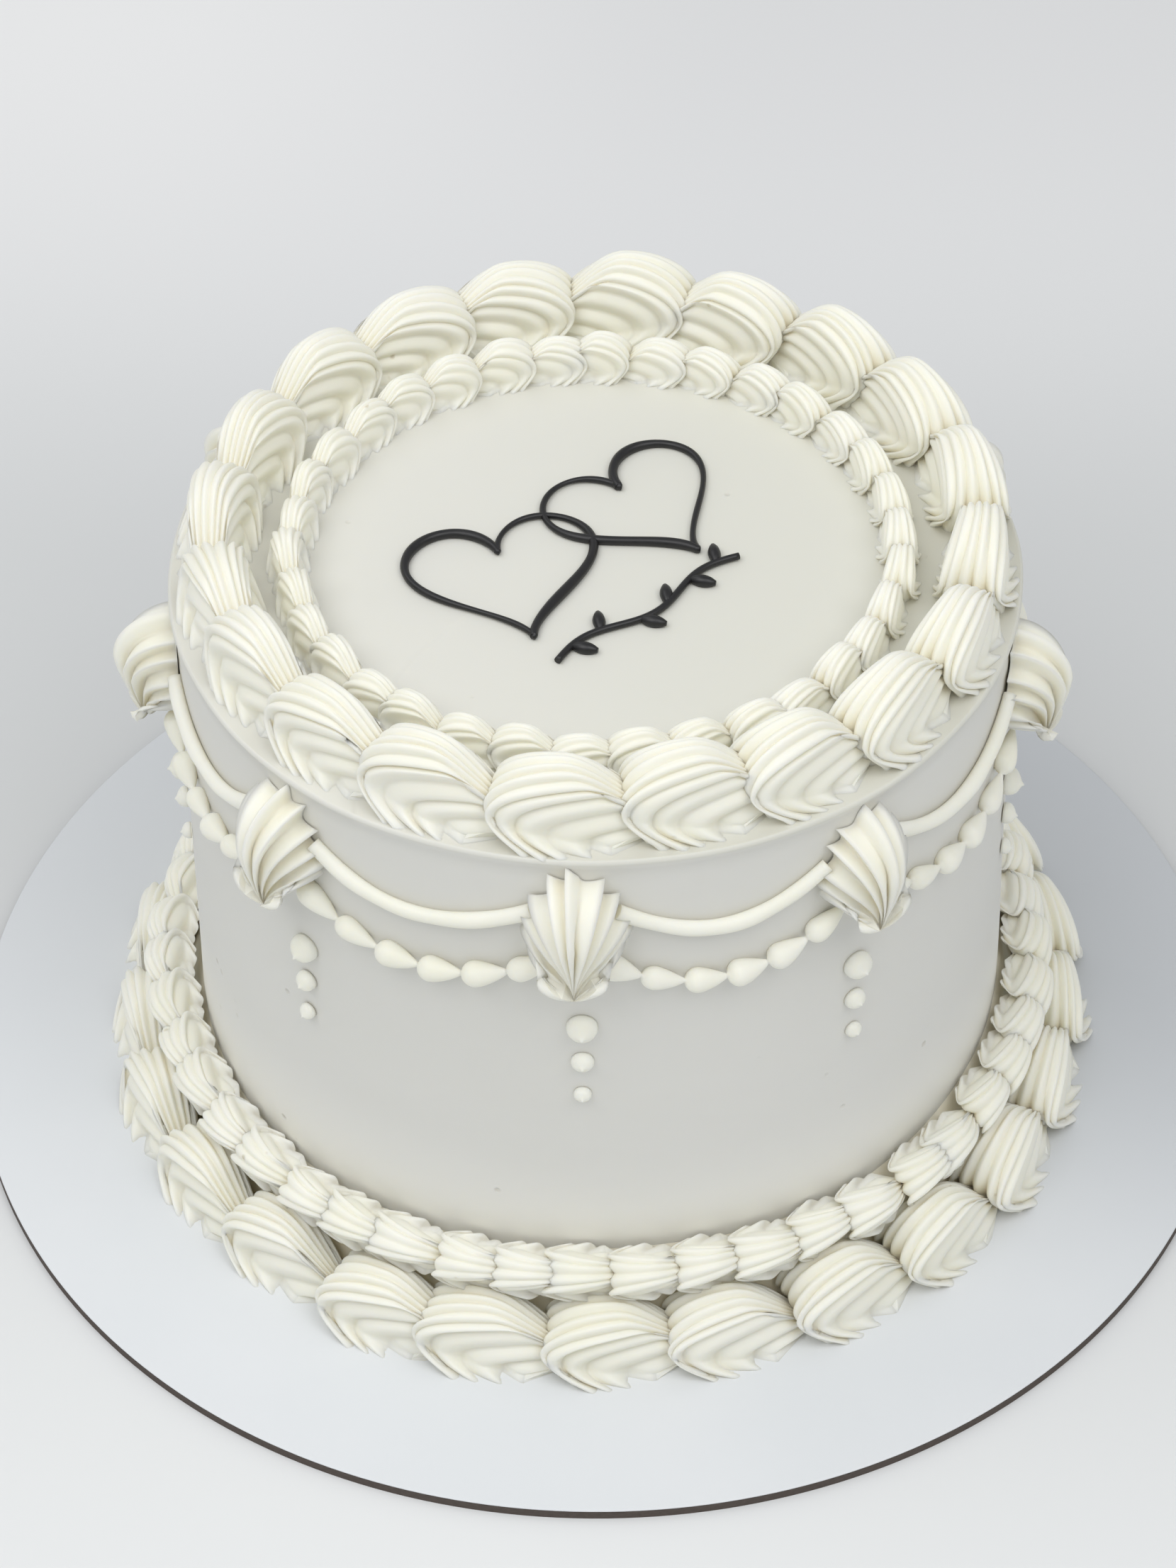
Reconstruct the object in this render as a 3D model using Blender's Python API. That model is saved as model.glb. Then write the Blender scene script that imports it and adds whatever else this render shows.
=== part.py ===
"""Round piped cream cake on its round board, built in metres, standing on the floor plane."""
import math
import random

import bmesh
import bpy
from mathutils import Vector

for old_item in list(bpy.data.objects):
    bpy.data.objects.remove(old_item, do_unlink=True)

MM = 0.001

# Board
board_radius = 127.0 * MM
board_thickness = 2.2 * MM
board_bevel = 0.35 * MM

# Cake body: a slightly tapered drum of cream with a small lip round its top edge
fit_gap = 0.3 * MM
cake_bottom = board_thickness + fit_gap
cake_top = 122.5 * MM
wall_radius_low = 80.6 * MM
wall_radius_high = 78.5 * MM
lip_radius = 79.3 * MM

# Piped rows, all run counter-clockwise seen from above
top_outer_count = 20
top_outer_radius = 70.9 * MM
top_inner_count = 34
top_inner_radius = 56.2 * MM
base_outer_count = 25
base_outer_radius = 91.3 * MM
base_inner_count = 47
base_inner_radius = 84.4 * MM
base_inner_height = 21.4 * MM
base_inner_lean = math.radians(52.0)
fill_height = 17.5 * MM

# Side trim: nine drops with a cord and a bead chain hung between each pair
drop_count = 9
drop_turns = (-173.0, -134.6, -93.1, -54.4, -13.0, 27.0, 67.0, 107.0, 147.0)
drop_top = 120.2 * MM
drop_half_width = 10.1 * MM
cord_radius = 1.45 * MM
cord_end_height = 109.8 * MM
cord_sag = 5.2 * MM
bead_end_height = 99.2 * MM
bead_sag = 7.4 * MM
beads_per_chain = 6
bead_radius = 2.5 * MM
dot_heights = (81.1 * MM, 72.6 * MM, 64.1 * MM)
dot_radii = (2.75 * MM, 2.05 * MM, 1.6 * MM)

# Black line drawing on the top: two linked hearts and a leafy sprig
line_radius = 0.95 * MM
heart_places = ((-16.5 * MM, -3.0 * MM, 16.0, 1.12), (8.0 * MM, 16.5 * MM, 38.0, 1.06))
sprig_start = (-7.0 * MM, -28.0 * MM)
sprig_turn = 40.0
sprig_length = 44.0 * MM


def new_material(name, colour, roughness):
    """One Principled material."""
    material = bpy.data.materials.new(name)
    material.use_nodes = True
    shader = material.node_tree.nodes["Principled BSDF"]
    shader.inputs["Base Color"].default_value = (*colour, 1.0)
    shader.inputs["Roughness"].default_value = roughness
    return material


def add_object(name, points, faces, material, smooth=True):
    """Mesh object from points and faces, with all faces turned outward."""
    mesh = bpy.data.meshes.new(name)
    mesh.from_pydata([tuple(point) for point in points], [], faces)
    work = bmesh.new()
    work.from_mesh(mesh)
    bmesh.ops.recalc_face_normals(work, faces=work.faces)
    work.to_mesh(mesh)
    work.free()
    for face in mesh.polygons:
        face.use_smooth = smooth
    item = bpy.data.objects.new(name, mesh)
    item.data.materials.append(material)
    bpy.context.scene.collection.objects.link(item)
    return item


def fuse(base, others, longest_step=0.04 * MM):
    """Union of the base object with the others in one step."""
    group = bpy.data.collections.new(base.name + "_pieces")
    bpy.context.scene.collection.children.link(group)
    for item in others:
        group.objects.link(item)
    step = base.modifiers.new("fuse", "BOOLEAN")
    step.operation = "UNION"
    step.operand_type = "COLLECTION"
    step.collection = group
    step.solver = "EXACT"
    graph = bpy.context.evaluated_depsgraph_get()
    mesh = bpy.data.meshes.new_from_object(base.evaluated_get(graph))
    base.modifiers.clear()
    base.data = mesh
    for item in others:
        bpy.data.objects.remove(item, do_unlink=True)
    bpy.data.collections.remove(group)
    tidy_mesh(mesh, longest_step)
    return base


def tidy_mesh(mesh, longest_step):
    """Clears short edges left by a union, as far as the body stays closed."""
    for share in (1.0, 0.7, 0.45, 0.02):
        work = bmesh.new()
        work.from_mesh(mesh)
        bmesh.ops.remove_doubles(work, verts=work.verts, dist=longest_step * share)
        bmesh.ops.triangulate(work, faces=work.faces)
        closed = all(edge.is_manifold for edge in work.edges)
        if closed:
            work.to_mesh(mesh)
        work.free()
        if closed:
            break
    for face in mesh.polygons:
        face.use_smooth = True


def wall_radius(height):
    """Radius of the cake wall at a height."""
    share = (height - cake_bottom) / (cake_top - cake_bottom)
    return wall_radius_low + (wall_radius_high - wall_radius_low) * share


def shell_columns(head, half, tail, tall, tip, ridges, groove, rise, fall):
    """Lines of one piped shell, from its feet over the crest to the tail tip.

    The feet stand evenly along the rounded head, every line runs in an upright
    plane to the tip, and every second line is sunk to make the groove between
    two ridges. Points are (along, across, up) with the tail toward plus along.
    """
    reach = math.acos(-head / tail) * 0.97
    fine = 120
    walked = [0.0]
    for step in range(fine):
        first = -reach + 2 * reach * step / fine
        second = -reach + 2 * reach * (step + 1) / fine
        run = math.hypot(head * (math.cos(second) - math.cos(first)), half * (math.sin(second) - math.sin(first)))
        walked.append(walked[-1] + run)
    columns = []
    total = 2 * (ridges - 1)
    for index in range(total + 1):
        goal = walked[-1] * index / total
        step = 0
        while step < fine - 1 and walked[step + 1] < goal:
            step += 1
        part = (goal - walked[step]) / (walked[step + 1] - walked[step])
        turn = -reach + 2 * reach * (step + part) / fine
        foot = Vector((-head * math.cos(turn), half * math.sin(turn), 0.0))
        end = Vector((tail, 0.0, 0.0))
        run = (end - foot).length
        way = (end - foot).normalized()
        near = abs(tail / head * math.sin(turn))
        near /= math.hypot(tail / head + math.cos(turn), math.sin(turn))
        crest = tall * math.sqrt(max(0.0, 1.0 - 0.88 * near * near))
        swell = 0.34 * crest
        start = math.asin(swell / (crest - swell))
        forward = 0.36 * run
        wide = forward / math.cos(start)
        sunk = groove if index % 2 else 0.0
        line = []
        for share in rise:
            angle = -start + (math.pi / 2 + start) * share
            depth = sunk * (1.0 - 0.35 * share)
            out = forward - (wide - depth) * math.cos(angle)
            up = swell + (crest - swell - depth) * math.sin(angle)
            if share == 0.0:
                up = 0.0
            line.append(foot + way * out + Vector((0.0, 0.0, up)))
        for share in fall:
            out = forward + (run - forward) * share
            drop = 0.5 * (1 - share) + 0.25 * (1 + math.cos(math.pi * share))
            up = tip + (crest - sunk * 0.65 - tip) * drop
            line.append(foot + way * out + Vector((0.0, 0.0, up)))
        columns.append(line)
    return columns, Vector((tail, 0.0, tip)), Vector((tail, 0.0, 0.0))


def shell_mesh(columns, tip, heel, place):
    """Closed mesh over the lines of one shell, moved by the place function."""
    points = []
    faces = []
    rows = len(columns[0])
    for line in columns:
        for point in line:
            points.append(place(point))
    tip_index = len(points)
    points.append(place(tip))
    heel_index = len(points)
    points.append(place(heel))
    last = len(columns) - 1
    for column in range(last):
        here = column * rows
        there = here + rows
        for row in range(rows - 1):
            faces.append((here + row, here + row + 1, there + row + 1, there + row))
        faces.append((here + rows - 1, tip_index, there + rows - 1))
    side = [row for row in range(rows)]
    faces.append(side + [tip_index, heel_index])
    faces.append([last * rows + row for row in reversed(range(rows))] + [heel_index, tip_index])
    faces.append([column * rows for column in reversed(range(last + 1))] + [heel_index])
    return points, faces


def shell_size(dice, head, half, tail, tall, spread):
    """Slightly different size for every hand-piped shell."""
    grow = 1.0 + dice.uniform(-spread, spread)
    return (head * grow, half * (1.0 + dice.uniform(-spread, spread) * 0.6), tail * grow,
            tall * (1.0 + dice.uniform(-spread, spread)))


def ring_place(turn, yaw, radius, floor_height, lean):
    """Maps a shell's own space to its place on a ring, tail counter-clockwise."""
    def place(point):
        along = point.x * math.cos(yaw) - point.y * math.sin(yaw)
        across = -point.x * math.sin(yaw) - point.y * math.cos(yaw)
        up = point.z
        out = across * math.cos(lean) + up * math.sin(lean)
        lift = -across * math.sin(lean) + up * math.cos(lean)
        angle = turn + along / radius
        distance = radius + out
        return Vector((distance * math.cos(angle), distance * math.sin(angle), floor_height + lift))
    return place


def shell_ring(name, count, radius, floor_height, lean, size, ridges, groove, rise, fall, seed, material, more=()):
    """Ring of overlapping shells fused into one body, with any more pieces given."""
    dice = random.Random(seed)
    items = []
    head, half, tail, tall, spread, phase = size
    for index in range(count):
        turn = math.radians(phase) + 2 * math.pi * index / count + dice.uniform(-0.018, 0.018)
        yaw = dice.uniform(-0.05, 0.05)
        own = shell_size(dice, head, half, tail, tall, spread)
        columns, tip, heel = shell_columns(*own, 1.2 * MM, ridges, groove, rise, fall)
        place = ring_place(turn, yaw, radius, floor_height, lean)
        points, faces = shell_mesh(columns, tip, heel, place)
        items.append(add_object(name + "_piece", points, faces, material))
    ring = items[0]
    ring.name = name
    return fuse(ring, items[1:] + list(more), 0.6 * MM)


def wall_place(turn, drop_start):
    """Maps a drop's own space to the wall: along runs down, up runs outward."""
    def place(point):
        height = drop_start - point.x
        out = wall_radius(height) + fit_gap + point.z
        return Vector((out * math.cos(turn) - point.y * math.sin(turn),
                       out * math.sin(turn) + point.y * math.cos(turn), height))
    return place


def wall_point(angle, height, out):
    """Point beside the wall."""
    radius = wall_radius(height) + out
    return Vector((radius * math.cos(angle), radius * math.sin(angle), height))


def tube(points, radius, sides, closed):
    """Round line along a path, as points and faces."""
    count = len(points)
    rings = []
    for index, point in enumerate(points):
        if closed:
            way = points[(index + 1) % count] - points[index - 1]
        else:
            way = points[min(index + 1, count - 1)] - points[max(index - 1, 0)]
        way.normalize()
        side = way.cross(Vector((0.0, 0.0, 1.0))).normalized()
        upright = side.cross(way).normalized()
        ring = []
        for step in range(sides):
            angle = 2 * math.pi * (step + 0.5) / sides
            ring.append(point + side * radius * math.cos(angle) + upright * radius * math.sin(angle))
        rings.append(ring)
    result = [point for ring in rings for point in ring]
    faces = []
    spans = count if closed else count - 1
    for index in range(spans):
        here = index * sides
        there = ((index + 1) % count) * sides
        for step in range(sides):
            after = (step + 1) % sides
            faces.append((here + step, here + after, there + after, there + step))
    if not closed:
        faces.append(tuple(reversed(range(sides))))
        faces.append(tuple((count - 1) * sides + step for step in range(sides)))
    return result, faces


def turned_profile(name, profile, segments, material):
    """Solid of revolution from (radius, height) pairs, closed at the axis below and above."""
    points = [Vector((0.0, 0.0, profile[0][1]))]
    for radius, height in profile:
        for step in range(segments):
            angle = 2 * math.pi * step / segments
            points.append(Vector((radius * math.cos(angle), radius * math.sin(angle), height)))
    points.append(Vector((0.0, 0.0, profile[-1][1])))
    faces = []
    for step in range(segments):
        after = (step + 1) % segments
        faces.append((0, 1 + after, 1 + step))
        for ring in range(len(profile) - 1):
            here = 1 + ring * segments
            there = here + segments
            faces.append((here + step, here + after, there + after, there + step))
        end = 1 + (len(profile) - 1) * segments
        faces.append((end + step, end + after, len(points) - 1))
    return add_object(name, points, faces, material)


def turned_ring(name, profile, segments, material):
    """Ring-shaped solid of revolution from a closed outline of (radius, height) pairs."""
    points = []
    for step in range(segments):
        angle = 2 * math.pi * step / segments
        for radius, height in profile:
            points.append(Vector((radius * math.cos(angle), radius * math.sin(angle), height)))
    faces = []
    count = len(profile)
    for step in range(segments):
        here = step * count
        there = (step + 1) % segments * count
        for index in range(count):
            after = (index + 1) % count
            faces.append((here + index, here + after, there + after, there + index))
    return add_object(name, points, faces, material)


cream = new_material("cream", (0.86, 0.84, 0.76), 0.45)
coat = new_material("smooth_coat", (0.74, 0.73, 0.69), 0.5)
card = new_material("white_board", (0.78, 0.80, 0.82), 0.35)
ink = new_material("black_icing", (0.01, 0.01, 0.01), 0.4)

# Board: thin white disc with a narrow bevel
turned_profile("board", (
    (board_radius, 0.0),
    (board_radius, board_thickness - board_bevel),
    (board_radius - board_bevel, board_thickness),
), 60, card)

# Cake body with the small dots of cream below every drop
cake = turned_profile("cake", (
    (wall_radius_low, cake_bottom),
    (wall_radius_high + 0.04 * MM, cake_top - 2.3 * MM),
    (lip_radius, cake_top - 1.1 * MM),
    (lip_radius - 0.7 * MM, cake_top),
), 54, coat)
dots = []
for turn in drop_turns:
    for height, radius in zip(dot_heights, dot_radii):
        centre_turn = math.radians(turn)
        points = []
        for out, wide in ((-0.8 * MM, radius * 0.8), (radius * 0.45, radius)):
            for step in range(5):
                angle = 2 * math.pi * step / 5
                sideways = centre_turn + wide * math.cos(angle) / wall_radius_high
                points.append(wall_point(sideways, height + wide * math.sin(angle), out))
        points.append(wall_point(centre_turn, height - radius * 0.25, radius * 1.35))
        faces = [(4, 3, 2, 1, 0)]
        for step in range(5):
            after = (step + 1) % 5
            faces.append((step, after, 5 + after, 5 + step))
            faces.append((5 + step, 5 + after, 10))
        dots.append(add_object("dot", points, faces, coat))
fuse(cake, dots)

# Rings of shells
big_rise = (0.0, 0.38, 0.72, 1.0)
big_fall = ()
small_rise = (0.0, 0.42, 0.9)
small_fall = ()
shell_ring("top_outer_shells", top_outer_count, top_outer_radius, cake_top + fit_gap, 0.0,
           (9.4 * MM, 8.9 * MM, 24.0 * MM, 16.8 * MM, 0.06, -98.0),
           5, 1.6 * MM, big_rise, big_fall, 11, cream)
shell_ring("top_inner_shells", top_inner_count, top_inner_radius, cake_top + fit_gap, 0.0,
           (4.7 * MM, 3.95 * MM, 12.0 * MM, 9.2 * MM, 0.06, -94.0),
           3, 1.0 * MM, small_rise, small_fall, 12, cream)
# The big base shells are pressed against the wall, so cream fills the corner behind them
behind = turned_ring("cream_behind", (
    (wall_radius_low + fit_gap, board_thickness + fit_gap),
    (base_outer_radius, board_thickness + fit_gap),
    (base_outer_radius - 4.5 * MM, fill_height - 5.0 * MM),
    (wall_radius_low + fit_gap, fill_height),
), 54, cream)
shell_ring("base_outer_shells", base_outer_count, base_outer_radius, board_thickness + fit_gap, 0.0,
           (9.4 * MM, 9.3 * MM, 23.0 * MM, 15.4 * MM, 0.05, -91.0),
           5, 1.6 * MM, big_rise, big_fall, 13, cream, (behind,))
shell_ring("base_inner_shells", base_inner_count, base_inner_radius, base_inner_height, base_inner_lean,
           (5.2 * MM, 5.7 * MM, 12.6 * MM, 7.4 * MM, 0.05, -93.0),
           3, 1.1 * MM, small_rise, small_fall, 14, cream)

# Drops on the wall
drop_dice = random.Random(21)
for number, turn in enumerate(drop_turns):
    own = shell_size(drop_dice, 11.4 * MM, drop_half_width, 13.4 * MM, 11.0 * MM, 0.04)
    columns, tip, heel = shell_columns(*own, 5.4 * MM, 6, 1.5 * MM, (0.0, 0.4, 0.8), (0.4,))
    place = wall_place(math.radians(turn), drop_top - 12.2 * MM)
    points, faces = shell_mesh(columns, tip, heel, place)
    add_object("drop_shell_%d" % (number + 1), points, faces, cream)

# Cords and bead chains between the drops
trim_dice = random.Random(22)
for number in range(drop_count):
    start = math.radians(drop_turns[number]) + (drop_half_width + 1.9 * MM) / wall_radius_high
    end_turn = drop_turns[(number + 1) % drop_count] + (360.0 if number == drop_count - 1 else 0.0)
    end = math.radians(end_turn) - (drop_half_width + 1.9 * MM) / wall_radius_high
    path = []
    steps = 5
    for step in range(steps + 1):
        share = step / steps
        height = cord_end_height - cord_sag * 4 * share * (1 - share)
        path.append(wall_point(start + (end - start) * share, height, fit_gap + cord_radius * 1.05))
    points, faces = tube(path, cord_radius, 5, False)
    add_object("cord_%d" % (number + 1), points, faces, cream)

    # One bead is a neck and a round belly, so the chain is a single swelling line
    stations = []
    for bead in range(beads_per_chain):
        size = 1.0 + trim_dice.uniform(-0.06, 0.06)
        for along_share, girth in ((0.03, 0.55), (0.36, 1.0 * size)):
            stations.append(((bead + along_share) / beads_per_chain, girth))
    stations.append((1.0, 0.5))
    sides = 5
    points = []
    faces = []
    for share, girth in stations:
        middle = start + (end - start) * share
        height = bead_end_height - bead_sag * 4 * share * (1 - share)
        slope = -bead_sag * 4 * (1 - 2 * share) / ((end - start) * wall_radius_high)
        for step in range(sides):
            angle = 2 * math.pi * step / sides
            rise = bead_radius * girth * math.sin(angle)
            out = fit_gap + bead_radius * (0.86 + girth * 0.82 * math.cos(angle))
            points.append(wall_point(middle - rise * slope / wall_radius_high, height + rise, out))
    for ring in range(len(stations) - 1):
        for step in range(sides):
            after = (step + 1) % sides
            here = ring * sides
            faces.append((here + step, here + after, here + sides + after, here + sides + step))
    faces.append(tuple(reversed(range(sides))))
    faces.append(tuple((len(stations) - 1) * sides + step for step in range(sides)))
    add_object("bead_chain_%d" % (number + 1), points, faces, cream)

# Black line drawing on the top
line_height = cake_top + fit_gap + line_radius
hearts = []
for centre_x, centre_y, tilt, scale in heart_places:
    path = []
    for step in range(20):
        angle = 2 * math.pi * step / 20
        across = 16 * math.sin(angle) ** 3 * scale * MM
        up = 13 * math.cos(angle) - 5 * math.cos(2 * angle) - 2 * math.cos(3 * angle) - math.cos(4 * angle)
        up *= scale * MM
        cosine = math.cos(math.radians(tilt))
        sine = math.sin(math.radians(tilt))
        path.append(Vector((centre_x + across * cosine - up * sine, centre_y + across * sine + up * cosine,
                            line_height)))
    points, faces = tube(path, line_radius, 4, True)
    hearts.append(add_object("linked_hearts", points, faces, ink))
fuse(hearts[0], hearts[1:])
hearts[0].name = "linked_hearts"

sprig = []
path = []
cosine = math.cos(math.radians(sprig_turn))
sine = math.sin(math.radians(sprig_turn))
for step in range(11):
    share = step / 10
    along = sprig_length * share
    across = 1.7 * MM * math.sin(share * math.pi * 3)
    path.append(Vector((sprig_start[0] + along * cosine - across * sine,
                        sprig_start[1] + along * sine + across * cosine, line_height)))
points, faces = tube(path, line_radius * 0.9, 4, False)
sprig.append(add_object("leaf_sprig", points, faces, ink))
for leaf in range(6):
    share = (leaf + 0.6) / 6.2
    side = 1 if leaf % 2 else -1
    along = sprig_length * share
    across = 1.7 * MM * math.sin(share * math.pi * 3)
    lean_turn = math.radians(sprig_turn + side * 55)
    root = Vector((sprig_start[0] + along * cosine - across * sine,
                   sprig_start[1] + along * sine + across * cosine, line_height))
    way = Vector((math.cos(lean_turn), math.sin(lean_turn), 0.0))
    path = [root, root + way * 4.4 * MM]
    points, faces = tube(path, line_radius * 0.95, 4, False)
    sprig.append(add_object("leaf", points, faces, ink))
fuse(sprig[0], sprig[1:])
sprig[0].name = "leaf_sprig"
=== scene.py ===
import math
import random

import bpy
import numpy as np
from mathutils import Matrix, Vector, noise


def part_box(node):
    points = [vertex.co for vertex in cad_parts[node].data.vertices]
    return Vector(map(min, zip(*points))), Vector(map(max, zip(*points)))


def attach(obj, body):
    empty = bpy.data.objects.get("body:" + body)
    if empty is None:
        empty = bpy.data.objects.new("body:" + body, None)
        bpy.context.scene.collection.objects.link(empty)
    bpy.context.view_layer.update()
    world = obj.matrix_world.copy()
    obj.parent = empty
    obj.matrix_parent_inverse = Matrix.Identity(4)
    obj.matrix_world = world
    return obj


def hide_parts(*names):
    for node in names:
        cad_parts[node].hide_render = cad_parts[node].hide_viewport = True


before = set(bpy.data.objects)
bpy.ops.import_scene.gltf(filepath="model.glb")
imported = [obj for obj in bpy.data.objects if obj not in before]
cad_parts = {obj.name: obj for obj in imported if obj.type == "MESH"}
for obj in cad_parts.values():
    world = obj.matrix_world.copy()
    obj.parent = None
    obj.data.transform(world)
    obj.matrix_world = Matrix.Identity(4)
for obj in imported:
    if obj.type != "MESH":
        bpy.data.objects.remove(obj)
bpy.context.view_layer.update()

# Camera: a hand-held picture taken from in front and above, at about 44 degrees down.
# The lens is a mild telephoto and the camera is turned and tilted by a hair, as hands do.
photo_width = 1659
photo_height = 2212
focal_pixels = 6000.0
camera_place = Vector((0.0, -0.5976785, 0.639038))
camera_down = 0.7649
camera_turn = 0.0032
camera_tilt = -0.0152
film_height = 36.0
lens_data = bpy.data.cameras.new("photo_camera")
lens_data.sensor_fit = "VERTICAL"
lens_data.sensor_height = film_height
lens_data.sensor_width = film_height * photo_width / photo_height
lens_data.lens = focal_pixels / photo_height * film_height
lens_data.clip_start = 0.01
lens_data.clip_end = 50.0
camera = bpy.data.objects.new("photo_camera", lens_data)
turn_matrix = Matrix.Rotation(camera_turn, 4, "Z") @ Matrix.Rotation(math.pi / 2 - camera_down, 4, "X")
camera.matrix_world = Matrix.Translation(camera_place) @ turn_matrix @ Matrix.Rotation(camera_tilt, 4, "Z")
bpy.context.scene.collection.objects.link(camera)
bpy.context.scene.camera = camera
bpy.context.scene.view_settings.view_transform = "Standard"


# Studio: a plain pale table in a pale room, wide enough to fill the picture from every side.
# Three large soft lamps hang over it, two in front at the left and right and a weaker one
# behind at the left.
class Layer:
    """One output of a material's nodes, written in sums like a number."""

    def __init__(self, tree, socket):
        self.tree = tree
        self.socket = socket

    def node(self, kind, settings, sockets, output=0):
        """Adds a node: its settings first, then the values or links of its sockets."""
        made = self.tree.nodes.new(kind)
        for name, value in settings.items():
            setattr(made, name, value)
        for name, value in sockets.items():
            if isinstance(value, Layer):
                self.tree.links.new(value.socket, made.inputs[name])
            else:
                made.inputs[name].default_value = value
        return Layer(self.tree, made.outputs[output])

    def math(self, operation, first, second=0.0):
        """Adds a Math node."""
        return self.node("ShaderNodeMath", {"operation": operation}, {0: first, 1: second})

    def __add__(self, other):
        return self.math("ADD", self, other)

    __radd__ = __add__

    def __sub__(self, other):
        return self.math("SUBTRACT", self, other)

    def __rsub__(self, other):
        return self.math("SUBTRACT", other, self)

    def __mul__(self, other):
        return self.math("MULTIPLY", self, other)

    __rmul__ = __mul__

    def __pow__(self, other):
        return self.math("POWER", self, other)

    def axis(self, letter):
        """One coordinate of this place."""
        return self.node("ShaderNodeSeparateXYZ", {}, {"Vector": self}, letter)

    def span(self, low, high):
        """Smooth ramp from 0 at low to 1 at high."""
        settings = {"interpolation_type": "SMOOTHSTEP"}
        return self.node("ShaderNodeMapRange", settings, {"Value": self, "From Min": low, "From Max": high})

    def blend(self, first, second):
        """Colour that goes from first to second as this value goes from 0 to 1."""
        sockets = {0: self}
        for slot, colour in ((6, first), (7, second)):
            sockets[slot] = colour if isinstance(colour, Layer) else (*colour, 1.0)
        return self.node("ShaderNodeMix", {"data_type": "RGBA"}, sockets, 2)

    def grain(self, scale, detail=2.0, roughness=0.5, stretch=(1.0, 1.0, 1.0)):
        """Soft cloudy noise over these coordinates."""
        spread = self.node("ShaderNodeVectorMath", {"operation": "MULTIPLY"}, {0: self, 1: stretch})
        sockets = {"Vector": spread, "Scale": scale, "Detail": detail, "Roughness": roughness}
        return self.node("ShaderNodeTexNoise", {}, sockets)

    def specks(self, scale):
        """Distance to the nearest of many scattered points over these coordinates."""
        sockets = {"Vector": self, "Scale": scale}
        return self.node("ShaderNodeTexVoronoi", {"feature": "F1"}, sockets, "Distance")

    def bump(self, strength, distance, under=None):
        """Relief whose height is this value times the distance."""
        sockets = {"Height": self, "Strength": strength, "Distance": distance}
        if under is not None:
            sockets["Normal"] = under
        return self.node("ShaderNodeBump", {}, sockets)


def finish_material(name, constants, paint):
    """Material with one Principled shader; paint gives its varying sockets."""
    material = bpy.data.materials.new(name)
    material.use_nodes = True
    tree = material.node_tree
    shader = tree.nodes["Principled BSDF"]
    for socket, value in constants.items():
        shader.inputs[socket].default_value = value
    where = tree.nodes.new("ShaderNodeTexCoord")
    for socket, layer in paint(Layer(tree, where.outputs["Object"])).items():
        tree.links.new(layer.socket, shader.inputs[socket])
    return material


def make_piece(name, points, faces, material, smooth=True):
    """Mesh object from an array of points and a list of faces."""
    mesh = bpy.data.meshes.new(name)
    mesh.from_pydata(np.asarray(points).tolist(), [], faces)
    mesh.polygons.foreach_set("use_smooth", [smooth and len(face) < 5 for face in faces])
    mesh.materials.append(material)
    item = bpy.data.objects.new(name, mesh)
    bpy.context.scene.collection.objects.link(item)
    return item


table_size = 3.0


def table_paint(place):
    """Pale top, with the cake's shadow painted as a greyer band level with the cake, and palest far back at
    the left.
    """
    aside = place.axis("X")
    away = place.axis("Y")
    # Painted shadow: the table is greyer where the cake's shadow falls, level with the cake
    painted_cake_shadow = away.span(-0.16, 0.06) * (1 - away.span(0.14, 0.34))
    far = away.span(0.2, 0.38) * (1 - aside.span(-0.12, 0.05))
    colour = painted_cake_shadow.blend((0.79, 0.80, 0.802), (0.665, 0.675, 0.677))
    colour = away.span(0.14, 0.34).blend(colour, (0.775, 0.777, 0.78))
    return {"Base Color": far.blend(colour, (0.87, 0.87, 0.868))}


corners = ((-1, -1), (1, -1), (1, 1), (-1, 1))
floor = make_piece("floor", [(x * table_size, y * table_size, 0.0) for x, y in corners], [(0, 1, 2, 3)],
                   finish_material("pale_table", {"Roughness": 0.9, "Specular IOR Level": 0.2}, table_paint))

room = bpy.data.worlds.new("pale_room")
room.use_nodes = True
room_light = room.node_tree.nodes["Background"]
room_light.inputs["Color"].default_value = (0.96, 0.98, 1.0, 1.0)
room_light.inputs["Strength"].default_value = 0.49
bpy.context.scene.world = room

# Name, place, width and power of each lamp
lamp_aim = Vector((0.0, 0.0, 0.07))
lamps = (
    ("key_lamp", (-0.56, -0.56, 1.35), 1.1, 7.4),
    ("fill_lamp", (0.56, -0.56, 1.35), 1.1, 6.6),
    ("back_lamp", (-0.75, 0.45, 1.25), 0.9, 2.4),
)
for name, spot, size, power in lamps:
    data = bpy.data.lights.new(name, "AREA")
    data.shape = "DISK"
    data.size = size
    data.energy = power
    lamp = bpy.data.objects.new(name, data)
    lamp.location = spot
    lamp.rotation_euler = (lamp_aim - Vector(spot)).to_track_quat("-Z", "Y").to_euler()
    bpy.context.scene.collection.objects.link(lamp)


# Board: a thin round cake card, white coated paper on a dark pressed core.
# It is cut with a knife, so the dark core shows as a line round its edge.
MM = 0.001
board_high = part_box("board")[1]
board_radius = board_high.x
board_top = board_high.z
liner_thickness = 0.35 * MM
board_segments = 256


def ride_for(item, slot, *nodes):
    """The piece rides on the cake's one body and stands for these solids."""
    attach(item, "root")
    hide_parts(*nodes)


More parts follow.
